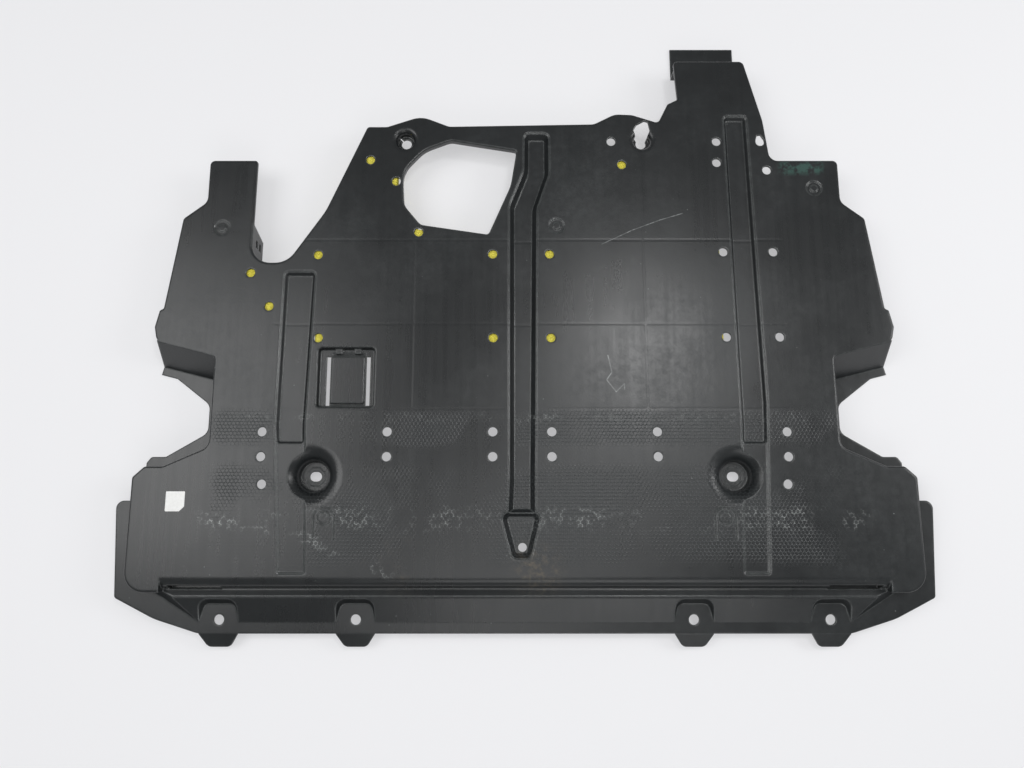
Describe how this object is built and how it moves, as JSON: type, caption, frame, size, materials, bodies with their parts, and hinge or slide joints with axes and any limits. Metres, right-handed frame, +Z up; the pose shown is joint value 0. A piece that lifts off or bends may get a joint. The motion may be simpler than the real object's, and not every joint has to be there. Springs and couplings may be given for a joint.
{
  "type": "engine_splash_shield",
  "caption": "Black moulded engine splash shield with drain holes, bolt wells, a clipped flap, side notches and foam sound pads, one rear well torn out.",
  "frame": {"origin": "bottom centre of the box round the shield as it lies road face up", "axes": "+X across the car, right in the picture; +Y towards the rear of the car, up in the picture; +Z up out of the road face"},
  "size_m": [1.0586, 0.838, 0.0453],
  "materials": {
    "black_polypropylene": "satin moulded polypropylene, grained in bands, scuffed and dusty",
    "yellow_foam": "open-cell sound foam",
    "white_paper": "blank white film label, one corner cut"
  },
  "bodies": {
    "root": {"shield_panel": "black_polypropylene", "left_pad": "yellow_foam", "right_pad": "yellow_foam", "label": "white_paper"}
  },
  "joints": []
}
